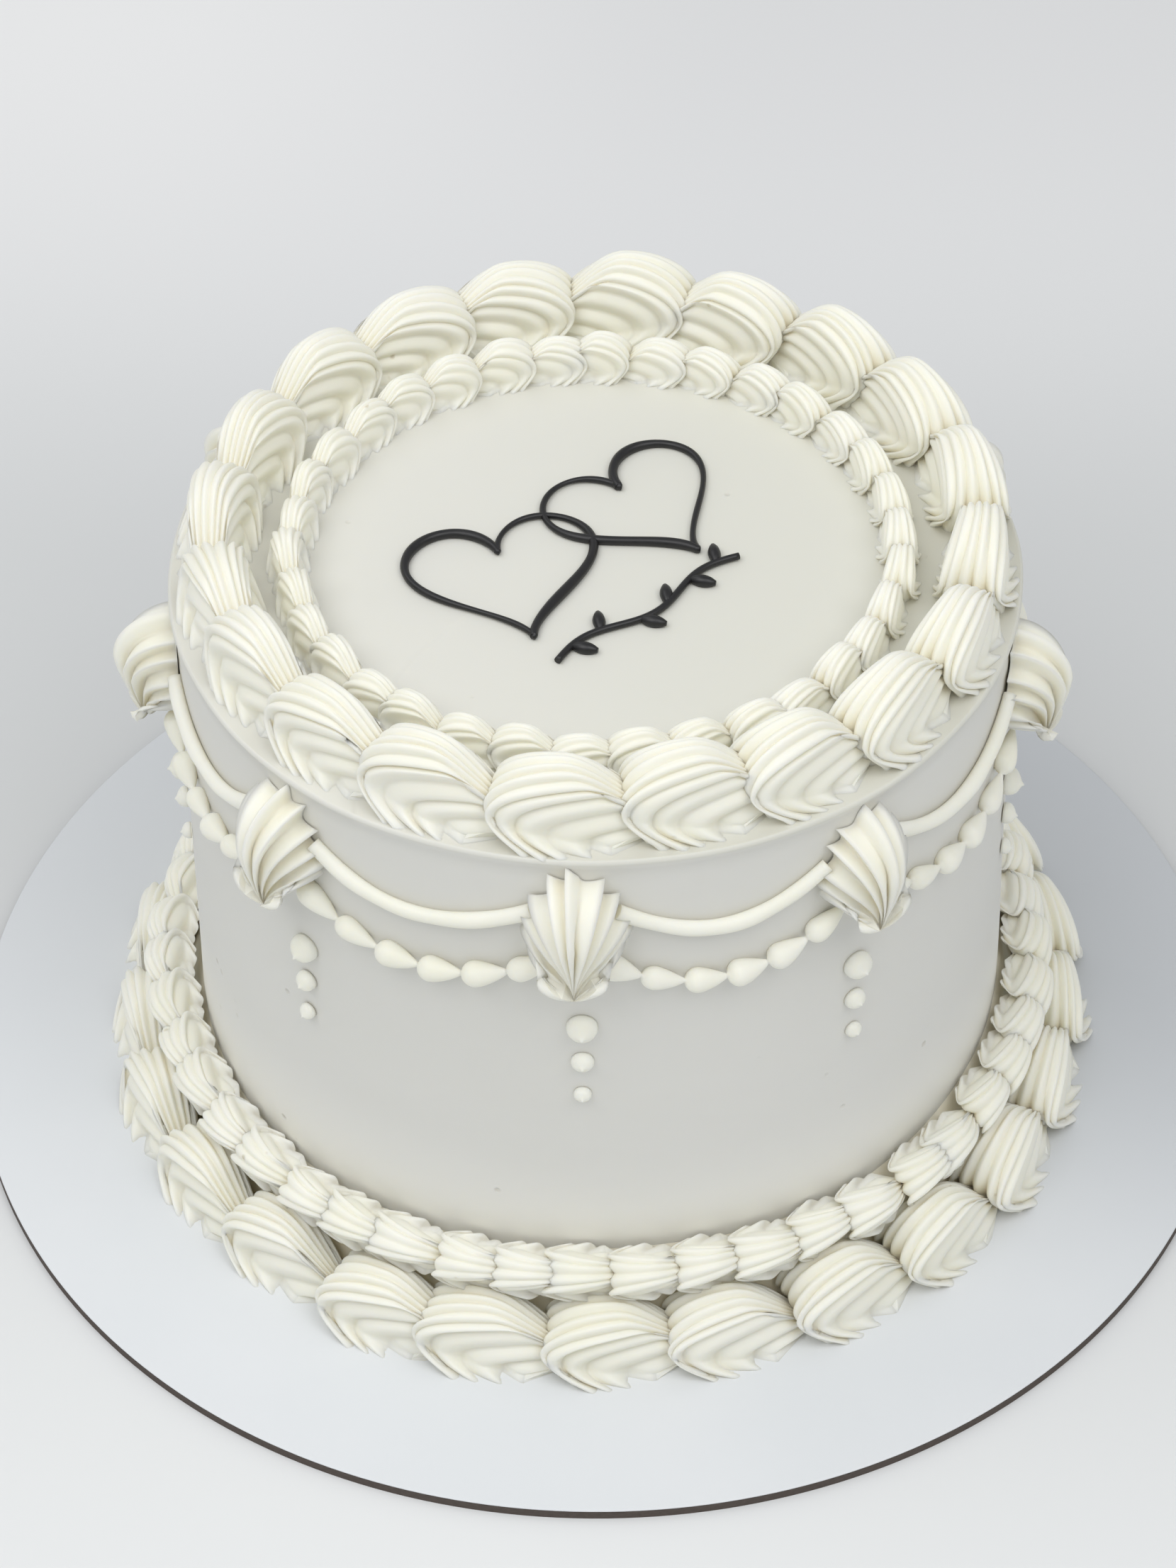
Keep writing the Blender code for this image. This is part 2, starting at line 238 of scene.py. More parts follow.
def lathe(profile, segments):
    """Points and faces of a closed turned shape, from its axis below to its axis above."""
    angles = np.arange(segments) * 2 * math.pi / segments
    rings = [np.stack((radius * np.cos(angles), radius * np.sin(angles), np.full(segments, height)), 1)
             for radius, height in profile]
    points = np.concatenate([[(0.0, 0.0, profile[0][1])]] + rings + [[(0.0, 0.0, profile[-1][1])]])
    faces = []
    for step in range(segments):
        after = (step + 1) % segments
        faces.append((0, 1 + after, 1 + step))
        for ring in range(len(profile) - 1):
            here = 1 + ring * segments
            there = here + segments
            faces.append((here + step, here + after, there + after, there + step))
        end = 1 + (len(profile) - 1) * segments
        faces.append((end + step, end + after, len(points) - 1))
    return points, faces


def core_paint(place):
    """Dark pressed fibre."""
    fibres = place.grain(900.0, 3.0, 0.6, (1.0, 1.0, 3.0))
    return {"Base Color": fibres.blend((0.05, 0.038, 0.032), (0.12, 0.095, 0.08))}


def liner_paint(place):
    """Cool white paper with faint smears, and a painted shadow of the cake that makes it a little darker
    toward the back and right.
    """
    smears = place.grain(18.0, 3.0)
    fibres = place.grain(500.0, 2.0)
    aside = place.axis("X")
    away = place.axis("Y")
    # Painted shadow: the paper darkens toward the back and right, where the cake's shadow falls
    shadow_reach = away + aside.math("MAXIMUM", aside, 0.0) * 0.4
    painted_shadow_colour = aside.span(-0.08, 0.08).blend((0.69, 0.71, 0.73), (0.585, 0.605, 0.63))
    paper = smears.span(0.35, 0.7).blend((0.735, 0.757, 0.777), (0.755, 0.773, 0.792))
    return {
        "Base Color": shadow_reach.span(-0.06, 0.05).blend(paper, painted_shadow_colour),
        "Roughness": 0.3 + smears * 0.25,
        "Normal": fibres.bump(0.15, 0.0001),
    }


core_top = board_top - liner_thickness
points, faces = lathe(((board_radius, 0.0), (board_radius, core_top)), board_segments)
core = make_piece("board_core", points, faces,
                  finish_material("dark_core", {"Roughness": 0.8}, core_paint), smooth=False)
ride_for(core, "white_board", "board")

# The knife rolls the edge of the paper over a little
points, faces = lathe((
    (board_radius - 0.1 * MM, core_top + 0.01 * MM),
    (board_radius - 0.02 * MM, board_top - liner_thickness * 0.5),
    (board_radius - 0.12 * MM, board_top - liner_thickness * 0.12),
    (board_radius - 0.45 * MM, board_top),
), board_segments)
cover = make_piece("board_cover", points, faces,
                   finish_material("white_coated_paper", {"Specular IOR Level": 0.4}, liner_paint))
ride_for(cover, "white_board", "board")


# Cake: layers coated in smoothed butter cream, scraped flat with a warm steel.
# The scraper leaves a thin raised edge round the top, faint marks and tiny burst bubbles.
cake_bottom = board_top + 0.05 * MM
cake_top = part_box("cake")[1].z
wall_radius_low = 80.6 * MM
wall_radius_high = 78.5 * MM
wall_foot = 2.5 * MM
lip_radius = 79.3 * MM
lip_below = 2.4 * MM
lip_round = 0.75 * MM
lip_tall = 0.9 * MM
coat_segments = 300
coat_wall_rings = 39
coat_top_rings = 23


def wall_radius(height):
    """Radius of the cake wall at a height."""
    share = (height - wall_foot) / (cake_top - wall_foot)
    return wall_radius_low + (wall_radius_high - wall_radius_low) * share


def coat_paint(place):
    """Smoothed cream with scraper marks, burst bubbles and one low step on the top."""
    marks = place.grain(28.0, 3.0, 0.55, (1.0, 1.0, 2.5))
    cloud = place.grain(9.0, 2.0)
    bubbles = place.specks(210.0)
    rare = place.grain(60.0, 1.0).span(0.66, 0.72)
    pit = (1 - bubbles.span(0.05, 0.18)) * rare
    aside = place.axis("X")
    away = place.axis("Y")
    rise = place.axis("Z")

    # The step runs along part of a circle at the front left of the top
    from_x = aside - 0.020
    from_y = away + 0.060
    edge = (from_x * from_x + from_y * from_y) ** 0.5 + (place.grain(40.0) - 0.5) * 0.003
    step = edge.span(0.0620, 0.0632) * (1 - away.span(-0.014, -0.004)) * (1 - aside.span(-0.03, -0.01))
    step = step * rise.span(0.120, 0.1215)
    relief = marks.bump(0.22, 0.0012)
    relief = step.bump(0.6, 0.0003, relief)
    relief = (1 - pit).bump(0.6, 0.0005, relief)

    # The coat is painted paler near its foot, as painted light against the shade from the base shells, and is
    # warmer on top and a little darker toward the right of the top
    wall_colour = cloud.span(0.3, 0.7).blend((0.745, 0.738, 0.692), (0.76, 0.752, 0.712))
    # Painted light: the wall's foot is paler to cancel the shade cast there
    wall_colour = rise.span(0.02, 0.05).blend((0.86, 0.85, 0.80), wall_colour)
    top_colour = aside.span(-0.04, 0.04).blend((0.735, 0.728, 0.672), (0.705, 0.70, 0.632))
    colour = rise.span(0.1205, 0.122).blend(wall_colour, top_colour)
    return {
        # Painted shade darkens the pits of the burst bubbles
        "Base Color": (pit * 0.5).blend(colour, (0.60, 0.56, 0.47)),
        "Roughness": 0.42 + marks * 0.2,
        "Normal": relief,
    }


profile = [(wall_radius(cake_bottom), cake_bottom)]
for step in range(1, coat_wall_rings + 1):
    height = cake_bottom + (cake_top - lip_below - cake_bottom) * step / coat_wall_rings
    profile.append((wall_radius(height), height))
for angle in range(0, 91, 15):
    turn = math.radians(angle)
    profile.append((lip_radius - lip_round + lip_round * math.cos(turn),
                    cake_top - lip_tall + lip_tall * math.sin(turn)))
for step in range(1, coat_top_rings + 1):
    profile.append((lip_radius - lip_round - (lip_radius - 3 * MM) * step / coat_top_rings, cake_top))
points, faces = lathe(profile, coat_segments)

# The scraper leaves broad swells and small ripples on the wall, a wavy lip and an uneven top
for index, point in enumerate(points):
    spot = Vector(point)
    wide = math.hypot(point[0], point[1])
    if wide < 1 * MM:
        continue
    near_top = min(1.0, max(0.0, (point[2] - cake_top + 4 * MM) / (4 * MM)))
    near_edge = min(1.0, max(0.0, (wide - lip_radius + 5 * MM) / (5 * MM)))
    swell = noise.noise(spot * 22.0) * 0.30 * MM + noise.noise(spot * 70.0) * 0.10 * MM - 0.32 * MM
    lip = noise.noise(Vector((point[0] * 45.0, point[1] * 45.0, 3.0))) * 0.45 * MM * near_top * near_edge
    push = (swell * (1 - near_top * 0.5) + lip) * near_edge
    points[index][0] += point[0] / wide * push
    points[index][1] += point[1] / wide * push
    if near_top == 1.0:
        points[index][2] += (noise.noise(spot * 30.0) - 0.5) * 0.16 * MM
coat = make_piece("smooth_coat", points, faces, finish_material("smoothed_cream", {
    "Subsurface Weight": 0.12,
    "Subsurface Radius": (1.0, 0.85, 0.6),
    "Subsurface Scale": 0.003,
    "Specular IOR Level": 0.35,
}, coat_paint))
ride_for(coat, "smooth_coat", "cake")


# Piped cream: stiff white butter cream pressed through ridged steel nozzles.
# Every shell starts as a swelling head whose ridges curl outward and over, then is pulled
# into a tail that the next head covers. The rows run counter-clockwise seen from above.
def cream_paint(place):
    """Warm white cream with painted shade in its grooves, its hollows and the pits of a few burst bubbles."""
    groove = place.node("ShaderNodeAttribute", {"attribute_name": "groove"}, {}, "Fac")
    fine = place.grain(420.0, 3.0, 0.6)
    cloud = place.grain(60.0, 2.0)
    bubbles = place.specks(190.0)
    pit = (1 - bubbles.span(0.04, 0.15)) * place.grain(75.0, 1.0).span(0.64, 0.7)
    shut = place.node("ShaderNodeAmbientOcclusion", {"samples": 4}, {"Distance": 0.005}, "AO")
    # Painted shade: ambient occlusion and the stored groove depth tint the crevices yellow-brown
    crevice_shade = (1 - shut) * 0.8 + groove * 0.2
    colour = cloud.span(0.3, 0.7).blend((0.895, 0.88, 0.765), (0.91, 0.895, 0.80))
    colour = crevice_shade.span(0.35, 1.0).blend(colour, (0.82, 0.76, 0.60))
    return {
        # Painted shade darkens the pits of the burst bubbles
        "Base Color": (pit * 0.6).blend(colour, (0.52, 0.44, 0.28)),
        "Roughness": 0.4 + fine * 0.2,
        "Normal": (1 - pit).bump(0.5, 0.0004, fine.bump(0.12, 0.0002)),
    }


foot_steps = 401
row_tip = 1.2 * MM
row_sink = 0.3 * MM
cream = finish_material("piped_cream", {
    "Subsurface Weight": 0.5,
    "Subsurface Radius": (1.0, 0.9, 0.7),
    "Subsurface Scale": 0.003,
    "Specular IOR Level": 0.4,
}, cream_paint)


def shell_feet(head, half, tail, sharp):
    """Feet of a shell's lines, evenly spaced round its head and along the start of its tail.

    Gives for every foot its place, the share of the full height that its line rises to, and
    how far the line first curls back before it turns toward the tail.
    """
    reach = 2.25 if sharp else min(1.95, math.acos(-head / tail) * 0.97)
    turns = np.linspace(-reach, reach, 241)
    peak = np.abs(np.cos(turns)) ** (1.5 if sharp else 1.0)
    feet = np.stack((-head * peak * np.sign(np.cos(turns)), half * np.sin(turns)), 1)
    near = np.abs(tail / head * np.sin(turns)) / np.hypot(tail / head + np.cos(turns), np.sin(turns))
    share = np.sqrt(np.maximum(0.0, 1.0 - 0.45 * near * near))
    curl = half * (0.34 + 0.5 * np.sin(turns) ** 2)

    # Beside the tail the feet run on toward its tip, and their lines get lower and curl less
    tail_share = 0.0 if sharp else 0.44
    last_x, last_y = feet[-1]
    along = np.linspace(0.0, 1.0, 41)[1:]
    side_x = last_x + (tail - last_x) * tail_share * along
    side_y = last_y * (1.0 - 0.16 * along ** 1.5)
    side_share = share[-1] * (1.0 - 0.85 * along)
    side_curl = curl[-1] * (1.0 - along ** 2)
    feet = np.concatenate((np.stack((side_x, -side_y), 1)[::-1], feet, np.stack((side_x, side_y), 1)))
    share = np.concatenate((side_share[::-1], share, side_share))
    curl = np.concatenate((side_curl[::-1], curl, side_curl))
    walked = np.concatenate(([0.0], np.cumsum(np.hypot(*np.diff(feet, axis=0).T))))
    goal = np.linspace(0.0, walked[-1], foot_steps)
    return [np.interp(goal, walked, values) for values in (feet[:, 0], feet[:, 1], share, curl)]


def shell_surface(head, half, tail, tall, tip, phase, ridges, rows, dice, sharp):
    """Smooth grid of points over one shell, line by line from foot to tail."""
    nudges = [0.0] + [dice.uniform(-0.2, 0.2) for _ in range(ridges - 2)] + [0.0]
    spread = np.interp(phase, np.arange(ridges), np.arange(ridges) + np.array(nudges)) / (ridges - 1)
    if sharp:
        centred = 2.0 * spread - 1.0
        spread = 0.5 + 0.5 * np.sign(centred) * np.abs(centred) ** 0.8
    fine = np.linspace(0.0, 1.0, foot_steps)
    foot_x, foot_y, share, curl = [np.interp(spread, fine, values)[:, None]
                                   for values in shell_feet(head, half, tail, sharp)]
    run = np.hypot(tail - foot_x, foot_y)
    if sharp:
        # A drop's lines rise in a quarter round from its open crown
        aside = np.minimum(1.0, np.abs(foot_y) / half)
        crest = tall * np.sqrt(1.0 - 0.72 * aside * aside)
        rise_rows = rows // 2
        climb = np.linspace(0.0, math.pi / 2, rise_rows)[None, :]
        forward = (0.40 + 0.08 * aside) * run
        rise_out = forward * (1.0 - np.cos(climb))
        rise_up = crest * np.sin(climb)
    else:
        # A row shell's lines lean outward first and then curl up and over
        crest = tall * share
        leg_rows = rows // 4
        rise_rows = rows // 4 + rows // 3
        forward = 0.3 * run
        swell = 0.48 * crest
        leg = np.linspace(0.0, 1.0, leg_rows)[None, :]
        climb = np.linspace(0.0, math.pi / 2, rise_rows - leg_rows + 1)[None, 1:]
        leg_out = -curl * (1 - (1 - leg) ** 1.7)
        rise_out = np.concatenate((leg_out, forward - (forward + curl) * np.cos(climb)), 1)
        rise_up = np.concatenate((swell * leg ** 0.8, swell + (crest - swell) * np.sin(climb)), 1)

    # From the crest every line slides down to the tip of the tail
    slide = np.linspace(0.0, 1.0, rows - rise_rows + 1)[None, 1:]
    fall_out = forward + (run - forward) * slide
    fall = 1 - slide ** 1.5 if sharp else 0.5 * (1 + np.cos(math.pi * slide))
    out = np.concatenate((rise_out, fall_out), 1)
    up = np.concatenate((rise_up, tip + (crest - tip) * fall), 1)
    gone = out / run
    if sharp:
        closing = 1.0 - np.clip(1.0 - gone, 0.0, 1.0) ** 1.5
    else:
        onward = (out + curl) / (run + curl)
        onward[:, :leg_rows] = 0.0
        lean_in = 0.26 * np.concatenate((leg * np.ones_like(curl), np.ones((len(phase), rows - leg_rows))), 1)
        closing = lean_in + (1.0 - lean_in) * (0.45 * onward + 0.55 * onward * onward)
    return np.stack((foot_x + (tail - foot_x) * gone, foot_y * (1.0 - closing), up), 2)


def cut_grooves(grid, phase, ridges, per_ridge, groove, dice, sharp):
    """Sinks a groove between every two ridges, no deeper than the ridges are wide there.

    Gives the grid and how deep each of its points lies, as a share of the full groove.
    """
    across = np.gradient(grid, axis=0)
    down = np.gradient(grid, axis=1)
    normal = np.cross(down, across)
    normal /= np.linalg.norm(normal, axis=2, keepdims=True) + 1e-12
    ridge_wide = np.linalg.norm(across, axis=2) * per_ridge
    row_share = np.linspace(0.0, 1.0, grid.shape[1])[None, :]
    ridge_number = np.rint(phase).astype(int)
    own = np.array([dice.uniform(-1.0, 1.0) for _ in range(ridges + 1)])[ridge_number][:, None]
    wander = np.array([dice.uniform(-1.0, 1.0) for _ in range(ridges + 1)])[ridge_number][:, None]
    wave = np.sin(row_share * 5.0 + wander * 3.0)
    ridge = (np.abs(np.cos(math.pi * phase)) ** 1.1)[:, None]
    low = (1.0 - ridge) * np.ones_like(ridge_wide)
    depth = np.minimum(groove * (1.2 - 0.85 * row_share), 0.6 * ridge_wide)
    if sharp:
        blade = 1.0 - np.abs(np.sin(math.pi * phase)) ** 0.75
        rounder = np.clip((row_share - 0.1) / 0.4, 0.0, 1.0)
        low = low * rounder + (1.0 - blade)[:, None] * (1.0 - rounder)
        depth = np.minimum(groove * (1.15 - 0.35 * row_share), 0.8 * ridge_wide)
    lift = (own * 0.12 + wave * 0.05) * groove * ridge
    lift = lift * np.minimum(1.0, ridge_wide / ridge_wide.max() * 1.5)
    grid = grid + normal * (lift - low * depth)[:, :, None]
    grid[:, 0, 2] = 0.0
    grid[:, :, 2] = np.maximum(grid[:, :, 2], 0.0)
    return grid, low * (depth / groove)


def shell_faces(columns, rows, first):
    """Faces of one closed shell whose grid starts at the point number first."""
    here = first + np.arange(columns * rows).reshape(columns, rows)
    quads = np.stack((here[:-1, :-1], here[:-1, 1:], here[1:, 1:], here[1:, :-1]), 2)
    faces = quads.reshape(-1, 4).tolist()
    tip = first + columns * rows
    heel = tip + 1
    faces += [(left, tip, right) for left, right in zip(here[:-1, -1].tolist(), here[1:, -1].tolist())]
    faces.append(here[0][::-1].tolist() + [heel, tip])
    faces.append(here[-1].tolist() + [tip, heel])
    faces.append(here[::-1, 0].tolist() + [heel])
    return faces


def shell_size(dice, head, half, tail, tall, spread):
    """Slightly different size for every hand-piped shell."""
    grow = 1.0 + dice.uniform(-spread, spread)
    return (head * grow, half * (1.0 + dice.uniform(-spread, spread) * 0.6), tail * grow,
            tall * (1.0 + dice.uniform(-spread, spread)))


def shell_block(own, tip, ridges, per_ridge, groove, rows, dice, place, sharp=False):
    """Points of one placed shell with its tail's tip and heel, and its groove depths."""
    phase = np.arange((ridges - 1) * per_ridge + 1) / per_ridge
    grid = shell_surface(*own, tip, phase, ridges, rows, dice, sharp)
    grid, low = cut_grooves(grid, phase, ridges, per_ridge, groove, dice, sharp)
    tail = own[2]
    heel = tail * (0.6 if sharp else 1.0)
    ends = np.array(((tail, 0.0, tip), (heel, 0.0, 0.0)))
    points = place(np.concatenate((grid.reshape(-1, 3), ends)))
    return points, np.concatenate((low.reshape(-1), (0.0, 0.0)))


def ring_place(turn, yaw, radius, floor_height, lean):
    """Moves a shell's own space to its place on a ring, tail counter-clockwise."""
    def place(points):
        along = points[:, 0] * math.cos(yaw) - points[:, 1] * math.sin(yaw)
        across = -points[:, 0] * math.sin(yaw) - points[:, 1] * math.cos(yaw)
        up = points[:, 2]
        distance = radius + across * math.cos(lean) + up * math.sin(lean)
        lift = -across * math.sin(lean) + up * math.cos(lean)
        angle = turn + along / radius
        return np.stack((distance * np.cos(angle), distance * np.sin(angle), floor_height + lift), 1)
    return place


def add_groove(item, depths):
    """Stores the groove depth of every point for the cream's painted shade."""
    item.data.attributes.new("groove", "FLOAT", "POINT").data.foreach_set("value", depths.astype(np.float32))


def piped_row(name, node, count, radius, floor_height, lean, head, half, tail, tall, spread, first_turn,
              ridges, per_ridge, rows, groove, seed):
    """One row of overlapping shells."""
    dice = random.Random(seed)
    fine_dice = random.Random(seed + 100)
    points = []
    depths = []
    faces = []
    total = 0
    columns = (ridges - 1) * per_ridge + 1
    for index in range(count):
        turn = math.radians(first_turn) + 2 * math.pi * index / count + dice.uniform(-0.018, 0.018)
        yaw = dice.uniform(-0.05, 0.05)
        own = shell_size(dice, head, half, tail, tall, spread)
        aside = fine_dice.uniform(-0.1, 0.1) * half * math.cos(lean)
        place = ring_place(turn, yaw, radius + aside, floor_height - row_sink, lean)
        block, low = shell_block(own, row_tip, ridges, per_ridge, groove, rows, fine_dice, place)
        faces += shell_faces(columns, rows, total)
        points.append(block)
        depths.append(low)
        total += len(block)
    item = make_piece(name, np.concatenate(points), faces, cream)
    add_groove(item, np.concatenate(depths))
    ride_for(item, "cream", node)


piped_row("top_outer_row", "top_outer_shells", count=20, radius=70.3 * MM, floor_height=cake_top, lean=0.0,
          head=5.6 * MM, half=8.3 * MM, tail=25.0 * MM, tall=17.0 * MM, spread=0.06, first_turn=-98.0,
          ridges=14, per_ridge=8, rows=44, groove=1.35 * MM, seed=11)
piped_row("top_inner_row", "top_inner_shells", count=34, radius=56.4 * MM, floor_height=cake_top, lean=0.0,
          head=3.0 * MM, half=4.3 * MM, tail=12.4 * MM, tall=9.6 * MM, spread=0.07, first_turn=-94.0,
          ridges=10, per_ridge=6, rows=30, groove=0.8 * MM, seed=12)
piped_row("base_outer_row", "base_outer_shells", count=25, radius=91.4 * MM, floor_height=board_top, lean=0.0,
          head=5.4 * MM, half=9.2 * MM, tail=24.0 * MM, tall=16.0 * MM, spread=0.06, first_turn=-91.0,
          ridges=13, per_ridge=8, rows=40, groove=1.5 * MM, seed=13)


# Cream behind the base: a plain ring of the same cream in the corner of board and wall.
# It is put on first and carries the small base row; painted shade makes it show dark between the shells.
behind_radius = 88.5 * MM
behind_shoulder = 8.0 * MM
behind_top = 21.0 * MM
behind_under_coat = 1.0 * MM
behind_painted_shade = 3.0
behind_segments = 200
points, faces = lathe((
    (wall_radius_low - behind_under_coat, board_top + 0.1 * MM),
    (behind_radius, board_top + 0.1 * MM),
    (behind_radius - 3.5 * MM, behind_shoulder),
    (wall_radius_low - behind_under_coat, behind_top),
), behind_segments)
behind = make_piece("cream_behind_base", points, faces, cream)
# Painted shade: the whole ring is given a deep groove value
add_groove(behind, np.full(len(points), behind_painted_shade))
ride_for(behind, "cream", "base_outer_shells")


# Small base row: small shells piped with a narrower nozzle into the corner above the ring.
# They lean on the wall and look up and outward.
piped_row("base_inner_row", "base_inner_shells", count=47, radius=84.9 * MM, floor_height=19.6 * MM,
          lean=math.radians(42.0), head=3.2 * MM, half=5.8 * MM, tail=12.6 * MM, tall=7.6 * MM,
          spread=0.07, first_turn=-93.0, ridges=8, per_ridge=8, rows=30, groove=0.9 * MM, seed=14)


# Drops: nine upright shells of stiff cream pressed onto the wall with a deep star nozzle.
# Each starts as a pointed crown under the top edge and is pulled down to a point.
# Their angles are in degrees, counter-clockwise, and the camera stands at -90.
drop_turns = (-173.0, -134.6, -93.1, -54.4, -13.0, 27.0, 67.0, 107.0, 147.0)
drop_middle = 108.0 * MM
drop_head = 13.0 * MM
drop_half_width = 10.3 * MM
drop_tail = 13.0 * MM
drop_tall = 11.2 * MM
drop_spread = 0.04
drop_tip = 6.8 * MM
drop_groove = 2.8 * MM
drop_ridges = 13
drop_per_ridge = 8
drop_rows = 42
drop_seed = 121


def wall_place(turn, middle):
    """Moves a drop's own space to the wall: along runs down, up runs outward."""
    def place(points):
        height = middle - points[:, 0]
        out = wall_radius(height) + points[:, 2]
        return np.stack((out * math.cos(turn) - points[:, 1] * math.sin(turn),
                         out * math.sin(turn) + points[:, 1] * math.cos(turn), height), 1)
    return place


drop_dice = random.Random(21)
drop_columns = (drop_ridges - 1) * drop_per_ridge + 1
for number, turn in enumerate(drop_turns):
    own = shell_size(drop_dice, drop_head, drop_half_width, drop_tail, drop_tall, drop_spread)
    place = wall_place(math.radians(turn), drop_middle)
    block, low = shell_block(own, drop_tip, drop_ridges, drop_per_ridge, drop_groove, drop_rows,
                             random.Random(drop_seed + number), place, True)
    drop = make_piece("drop_%d" % (number + 1), block, shell_faces(drop_columns, drop_rows, 0), cream)
    add_groove(drop, low)
    ride_for(drop, "cream", "drop_shell_%d" % (number + 1))


# Dots: three shrinking dots of soft cream under every drop, pressed on with a round nozzle.
# The nozzle pulls a small tip out of each as it leaves.
dot_heights = (81.1 * MM, 72.6 * MM, 64.1 * MM)
dot_radii = (2.75 * MM, 2.05 * MM, 1.6 * MM)
dot_sides = 24

# How far the dots of each drop stand beside its middle, in degrees
dot_shifts = (0.0, 2.0, 0.7, 0.1, 0.5, -0.6, 0.3, 0.0, -0.4)


def wall_points(turn, height, out):
    """Points beside the wall, from arrays of angle, height and distance out."""
    distance = wall_radius(height) + out
    return np.stack((distance * np.cos(turn), distance * np.sin(turn), height), 1)


# Width and distance from the wall of a dot's rings, in shares of its radius
dot_rings = ((1.0, -0.12), (1.03, 0.12), (1.0, 0.36), (0.9, 0.58), (0.74, 0.76), (0.52, 0.9), (0.3, 0.99),
             (0.14, 1.1), (0.05, 1.24))
dot_dice = random.Random(31)
angles = np.arange(dot_sides) * 2 * math.pi / dot_sides
points = []
faces = []
for drop_turn, shift in zip(drop_turns, dot_shifts):
    turn = math.radians(drop_turn + shift)
    for height, radius in zip(dot_heights, dot_radii):
        middle = height + dot_dice.uniform(-0.3, 0.3) * MM
        side = dot_dice.uniform(-0.25, 0.25) * MM
        pull = dot_dice.uniform(-0.35, -0.05)
        first = sum(len(block) for block in points)
        for wide, out in dot_rings:
            tilt = max(0.0, out - 0.5) * radius * pull
            across = radius * wide * np.cos(angles) + side
            lift = radius * wide * np.sin(angles) * 0.96 + tilt
            points.append(wall_points(turn + across / wall_radius_high, middle + lift, radius * out))
        here = first + np.arange(len(dot_rings) * dot_sides).reshape(len(dot_rings), dot_sides)
        after = np.roll(here, -1, 1)
        faces += np.stack((here[:-1], after[:-1], after[1:], here[1:]), 2).reshape(-1, 4).tolist()
        faces.append(here[0][::-1].tolist())
        faces.append(here[-1].tolist())
dots = make_piece("wall_dots", np.concatenate(points), faces, cream)
add_groove(dots, np.zeros(len(dots.data.vertices)))
ride_for(dots, "cream", "cake")


# Cords: one smooth line of cream hung between every two drops with a round nozzle.
# Each sticks to the wall along its length and thickens a little where the hand slowed.
cord_radius = 1.45 * MM
cord_end_height = 110.8 * MM
cord_sag = 6.2 * MM
cord_inset = 7.3 * MM
cord_steps = 60
cord_sides = 14


def hung_line(number, inset):
    """Start and end angle of what hangs after a drop, from this far beside its middle."""
    count = len(drop_turns)
    last = drop_turns[(number + 1) % count] + (360.0 if number == count - 1 else 0.0)
    turn = inset / wall_radius_high
    return math.radians(drop_turns[number]) + turn, math.radians(last) - turn


def line_rings(middle, height, out, girth_up, girth_out, sides):
    """Closed round line along the wall: rings of points and their faces."""
    steps = len(middle)
    lean = np.arctan(np.gradient(height) / (np.gradient(middle) * wall_radius_high))
    rings = []
    for step in range(sides):
        angle = 2 * math.pi * step / sides
        lift = girth_up * math.sin(angle)
        ring = wall_points(middle - lift * np.sin(lean) / wall_radius_high, height + lift * np.cos(lean),
                           out + girth_out * math.cos(angle))
        rings.append(ring)
    points = np.stack(rings, 1).reshape(-1, 3)
    here = np.arange(steps * sides).reshape(steps, sides)
    after = np.roll(here, -1, 1)
    faces = np.stack((here[:-1], after[:-1], after[1:], here[1:]), 2)[:, :, ::-1].reshape(-1, 4).tolist()
    faces.append(here[0].tolist())
    faces.append(here[-1][::-1].tolist())
    return points, faces


cord_dice = random.Random(23)
for number in range(len(drop_turns)):
    start, end = hung_line(number, cord_inset)
    share = np.linspace(0.0, 1.0, cord_steps)
    height = cord_end_height - cord_sag * 4 * share * (1 - share)
    waver = [cord_dice.uniform(0.0, 6.0) for _ in range(3)]
    girth = cord_radius * (1.0 + 0.05 * np.sin(share * 9 + waver[0]) + 0.03 * np.sin(share * 23 + waver[1]))
    height = height + 0.25 * MM * np.sin(share * 7 + waver[2])
    middle = start + (end - start) * share
    points, faces = line_rings(middle, height, girth * 0.75, girth, girth * 0.95, cord_sides)
    cord = make_piece("hung_cord_%d" % (number + 1), points, faces, cream)
    add_groove(cord, np.zeros(len(points)))
    ride_for(cord, "cream", "cord_%d" % (number + 1))


